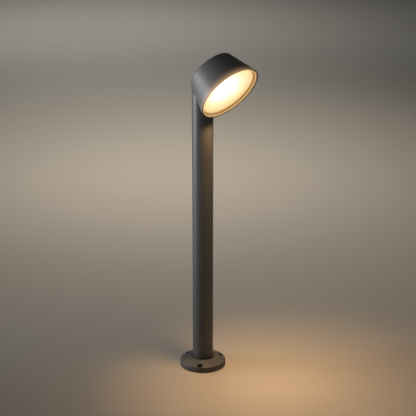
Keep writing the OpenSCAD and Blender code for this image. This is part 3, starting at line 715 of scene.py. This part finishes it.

# %% [markdown]
# ## The mouth of the head
#
# Inside the cast rim sits a dark ring that holds the opal disc against its gasket. The disc
# is pressed from opal sheet: its edge is rounded and its face crowns by a few tenths of a
# millimetre. Behind it a white dish leads the light forwards. The lamp's light on the ring is
# painted light: emission in bands, gold at the bore, dark, a gold line, and dark again at the outer lip.

# %% Front ring
ring_inner, ring_outer, ring_low, ring_high = span("front_ring")
ring_radius, ring_height = HEAD.turned("front_ring")
ring_lip = ring_height[ring_radius < ring_inner + 0.1 * MM].max()
ring_seat = ring_radius[ring_height < ring_low + 0.1 * MM].max()
ring_top = ring_radius[ring_height > ring_high - 0.1 * MM]
ring_outline = rounded(
    [[ring_inner, ring_low], [ring_seat, ring_low], [ring_top.max(), ring_high], [ring_top.min(), ring_high],
     [ring_inner, ring_lip]], np.array([0.3, 0.3, 0.25, 0.25, 0.45]) * MM)
ring = turn("rim_ring", ring_outline, HEAD, 192)
# Painted light on the ring: emission bands from the bore out to the lip.
RING_PAINTED_BANDS = [
    (0.0, (0.80, 0.50, 0.22)), (0.22, (0.55, 0.28, 0.09)), (0.38, (0.20, 0.10, 0.025)),
    (0.52, (0.20, 0.10, 0.025)), (0.67, (1.0, 0.63, 0.27)), (0.80, (0.8, 0.48, 0.18)),
    (0.96, (0.08, 0.04, 0.015)), (1.0, (0.04, 0.02, 0.01))]
RING_PAINTED_GLOW = 0.85
ring_coat_and_painted_glow = glowing("ring_coat_and_painted_glow", (0.10, 0.070, 0.045), RING_PAINTED_BANDS, RING_PAINTED_GLOW,
                    low=0.26, high=0.34, inner=ring_inner, outer=ring_outer)
ring.data.materials.append(ring_coat_and_painted_glow)
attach(ring, "head")
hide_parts("front_ring")
print("ring bore", round(2 * ring_inner / MM, 1), "mm")

# %% Opal disc
_, lens_radius, lens_low, lens_high = span("diffuser")
CROWN = 0.4 * MM
t = np.linspace(0, 1, 14)
face = np.stack([lens_radius * 0.985 * t, lens_high - CROWN * t ** 2], -1)
lens_rim = rounded([face[-1], [lens_radius, lens_high - CROWN], [lens_radius, lens_low], [0, lens_low]],
                   np.array([0, 0.9, 0.5, 0]) * MM)
lens = turn("opal_disc", np.concatenate([face, lens_rim[1:]]), HEAD, 192)
lens.data.materials.append(opal)
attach(lens, "head")
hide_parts("diffuser")
print("crown", CROWN / MM, "mm on", round(2 * lens_radius / MM, 1), "mm")

# %% Reflector dish
dish_inner, dish_outer, dish_low, _ = span("reflector")
dish_radius, dish_height = HEAD.turned("reflector")
dish_foot = dish_radius[dish_height < dish_low + 0.1 * MM].max()
dish_mouth = dish_height[dish_radius > dish_outer - 0.1 * MM]
neck = dish_height[dish_radius < dish_inner + 0.1 * MM].max()
shoulder = dish_height[np.abs(dish_radius - dish_foot) < 0.1 * MM].max()
dish_outline = rounded(
    [[dish_inner, dish_low], [dish_foot, dish_low], [dish_foot, shoulder], [dish_outer, dish_mouth.min()],
     [dish_outer, dish_mouth.max()], [dish_inner, neck]], np.array([0.3, 0.3, 0.8, 0.3, 0.3, 0.8]) * MM)
dish = turn("dish", dish_outline, HEAD, 160)
dish.data.materials.append(dish_white_painted_glow)
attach(dish, "head")
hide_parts("reflector")
print("dish mouth", round(2 * dish_outer / MM, 1), "mm")

# %% [markdown]
# ## Seals
#
# The seal round the foot of the tube is an extruded rubber section with two soft ribs. The
# gasket under the disc is a flat silicone ring with a rounded section.

# %% Foot seal and gasket
seal_inner, seal_outer, seal_low, seal_high = span("foot_seal", POLE)
step = (seal_high - seal_low) / 5
seal_outline = rounded(
    [[seal_inner, seal_low], [seal_outer, seal_low], [seal_outer, seal_low + 2 * step],
     [seal_outer - 0.5 * MM, seal_low + 2.4 * step], [seal_outer - 0.2 * MM, seal_low + 3.2 * step],
     [seal_inner + 1.4 * MM, seal_high], [seal_inner, seal_high]],
    np.array([0.4, 0.4, 0.3, 0.3, 0.5, 0.5, 0.3]) * MM)
seal = turn("foot_seal_ring", seal_outline, POLE, 160)
gasket_in, gasket_out, gasket_low, gasket_high = span("diffuser_gasket")
gasket = turn("disc_gasket", rounded(
    [[gasket_in, gasket_low], [gasket_out, gasket_low], [gasket_out, gasket_high], [gasket_in, gasket_high]],
    np.full(4, 0.35 * MM)), HEAD, 160)
for piece, node, material, slot, body in (
        (seal, "foot_seal", black_rubber, "black_rubber", "base"),
        (gasket, "diffuser_gasket", silicone, "silicone", "head")):
    piece.data.materials.append(material)
    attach(piece, body)
    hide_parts(node)
    print("made", piece.name)

# %% [markdown]
# ## The lead across the hinge
#
# A short stretch of rubber lead crosses from the cap into the head. When the head tilts, its
# far end goes with the head and its near end stays with the pole. Its surface is a circle
# carried along a straight path, with many rings, because only rings can bend.

# %% Lead
axis = spread_axes("tilt_lead")[0]
axis = axis * np.sign(axis[2])
lead_middle = middle_of("tilt_lead")
along = (corner_points("tilt_lead") - lead_middle) @ axis
lead_radius = np.linalg.norm(np.cross(corner_points("tilt_lead") - lead_middle, axis), axis=1).max()
across = np.cross(axis, side)
lead_axes = Axes(lead_middle, side, across, axis)
RINGS = 28
rings = np.linspace(along.min(), along.max(), RINGS)
lead_side = np.stack([np.full(RINGS, lead_radius), rings], -1)
lead_outline = np.concatenate([[[0, rings[0]]], lead_side, [[0, rings[-1]]]])
lead = turn("hinge_lead", lead_outline, lead_axes, 32)
lead.data.materials.append(lead_sheath)
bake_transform(lead)
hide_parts("tilt_lead")
print("lead", round(2 * lead_radius / MM, 1), "mm, crossing", round(np.ptp(along) / MM, 1), "mm")

# %% [markdown]
# ## Finishes for the parts that stay
#
# Every other part keeps its engineering shape and gets the finish of its material slot. The
# plug is the one exception: it glows with painted light, like the lit board that it stands on.

# %% Assign the finishes
FINISH = {
    "powder_coat": base_coat, "bare_aluminium": bare_aluminium, "stainless": stainless,
    "zinc_sheet": zinc_sheet, "brass": brass, "black_rubber": black_rubber, "lead_sheath": lead_sheath,
    "wire_sleeve": wire_sleeve, "silicone": silicone, "natural_nylon": natural_nylon,
    "white_plastic": white_plastic, "thermal_pad": pad_blue, "board_white": board_white,
    "led_phosphor": phosphor, "reflector_white": dish_white_painted_glow, "opal_diffuser": opal,
}
for part in frame["record"]["subparts"]:
    mesh = frame["nodes"][part["node"]].data
    mesh.materials.clear()
    mesh.materials.append(FINISH[part["material_slot"]])
# The plug takes the painted glow of the lit board.
frame["nodes"]["board_plug"].data.materials[0] = plug_painted_glow

# %% [markdown]
# ## The studio
#
# The floor is a round dish that curves up far away, so no horizon line shows in any
# direction. It is a surface of revolution: flat, then a quarter circle, then a wall.

# %% Floor
def studio_floor(flat=7.0, curve=2.5, wall=4.0):
    """radius and height along the floor: flat, then a quarter circle, then straight up."""
    a = np.linspace(0, np.pi / 2, 24)
    outline = np.concatenate([
        np.stack([np.linspace(0, flat, 20), np.zeros(20)], -1),
        np.stack([flat + curve * np.sin(a), curve * (1 - np.cos(a))], -1)[1:],
        [[flat + curve, curve + wall]]])
    r, z = outline[:, 0][:, None], outline[:, 1][:, None]
    a = np.linspace(0, 2 * np.pi, 128, endpoint=False)
    points = np.stack([r * np.cos(a), r * np.sin(a), np.broadcast_to(z, (len(outline), 128))], -1)
    return add_piece("studio_floor", points, grid_faces(len(outline), 128, False))


floor = studio_floor()
floor.data.flip_normals()
floor_finish = plain_finish("studio_floor", (0.42, 0.385, 0.34), 0.012, 0.62, 0.72, 60.0, 0.00002,
                            Specular_IOR_Level=0.25)
floor.data.materials.append(floor_finish)
print("floor:", len(floor.data.polygons), "faces")

# %% [markdown]
# ## Light
#
# A tall soft box on the left draws the blue-grey stripe down the tube. Two boxes overhead,
# beyond the light as the camera sees it, each lay a soft pool on the floor: a warm one near
# and a cool one far. Three wide ones, out of the camera's sight, keep the floor readable
# from the other sides.
#
# The lamp's own light comes from three area lights that ride on the head, because the glow
# of the disc is far too weak to light the ground. Lamp is a wide round one just in front of
# the opal disc. Beam is a smaller one aimed at the ground in front of the flange. Lip glow
# is a thin strip just outside the lower rim, which warms the tube under the head.

# %% Lights
def soft_box(name, place, target, size, power, colour, spread=180, shape="RECTANGLE"):
    """An area light that points at the target. Its light fans out by spread degrees."""
    light = bpy.data.lights.new(name, "AREA")
    light.shape, light.size, light.energy, light.color = shape, size[0], power, colour
    light.spread = math.radians(spread)
    if shape == "RECTANGLE":
        light.size_y = size[1]
    box = bpy.data.objects.new(name, light)
    scene.collection.objects.link(box)
    aim = Vector(target) - Vector(place)
    box.matrix_world = Matrix.Translation(place) @ aim.to_track_quat("-Z", "Y").to_matrix().to_4x4()
    return box


DAYLIGHT, WASH_LIGHT = (0.96, 0.98, 1.0), (0.97, 0.98, 1.0)
WARM_POOL, COOL_POOL = (1.0, 0.92, 0.81), (0.97, 1.0, 0.99)
LAMPLIGHT, LIP_LIGHT = (1.0, 0.62, 0.30), (1.0, 0.55, 0.22)
soft_box("key", (-1.45, 1.55, 0.85), (0, 0, 0.80), (0.9, 1.3), 7.2, DAYLIGHT, 52)
soft_box("near_pool", (1.22, 1.42, 3.3), (1.22, 1.42, 0), (0.9, 0.9), 15.4, WARM_POOL, 68)
soft_box("far_pool", (3.0, 4.1, 3.0), (3.0, 4.1, 0), (2.0, 2.0), 23.0, COOL_POOL, 100)
for x, y in ((-1.3, -1.3), (2.1, -2.1), (-2.1, 2.1)):
    soft_box("wash", (x, y, 4.0), (2.4 * x, 2.4 * y, 0.0), (2.0, 2.0), 120.0, WASH_LIGHT, 96)

LAMP_RADIUS, BEAM_RADIUS = 85 * MM, 60 * MM
lamp_place = HEAD.origin + (ring_high - 0.5 * MM) * HEAD.out
lamp = soft_box("lamp", tuple(lamp_place), tuple(lamp_place + HEAD.out), (2 * LAMP_RADIUS,) * 2, 2.5,
                LAMPLIGHT, shape="DISK")
beam = soft_box("beam", tuple(lamp_place), (0.05, -0.25, 0), (2 * BEAM_RADIUS,) * 2, 1.5,
                LAMPLIGHT, 72, "DISK")
rim_low = lamp_place - LAMP_RADIUS * HEAD.up
lip_place = rim_low + 18 * MM * HEAD.out
lip_glow = soft_box("lip_glow", tuple(lip_place), (0, -tube_outer, rim_low[2] - 0.14), (0.07, 0.012),
                    0.11, LIP_LIGHT, 90)
for light in (lamp, beam, lip_glow):
    light.visible_camera = False
    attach(light, "head")

world = bpy.data.worlds.new("room")
scene.world = world
world.use_nodes = True
room = world.node_tree.nodes["Background"]
room.inputs["Color"].default_value = (0.62, 0.68, 0.72, 1.0)
room.inputs["Strength"].default_value = 0.12
print("lights:", sorted(light.name for light in bpy.data.lights))

# %% [markdown]
# ## Camera
#
# The camera stands about 3.6 m away at standing height, looks down by 19 degrees, and has a
# short telephoto lens, so the tube's sides stay almost parallel.

# %% Camera
camera = bpy.data.objects.new("camera", bpy.data.cameras.new("camera"))
scene.collection.objects.link(camera)
LENS, SENSOR = 115.5, 36.0
CAMERA_PLACE = (-2.5525, -2.5586, 1.730)
AHEAD_X, AHEAD_Y = 0.7092, 0.7050
camera.data.lens, camera.data.sensor_width = LENS, SENSOR
camera.data.clip_end = 60.0
look_down = math.radians(18.94)
level = math.cos(look_down)
look = Vector((AHEAD_X * level, AHEAD_Y * level, -math.sin(look_down)))
turned = look.to_track_quat("-Z", "Y").to_matrix().to_4x4()
camera.matrix_world = Matrix.Translation(CAMERA_PLACE) @ turned
scene.camera = camera
scene.view_settings.view_transform = "Standard"
print("lens sees", round(math.degrees(2 * math.atan(SENSOR / 2 / LENS)), 1), "degrees")
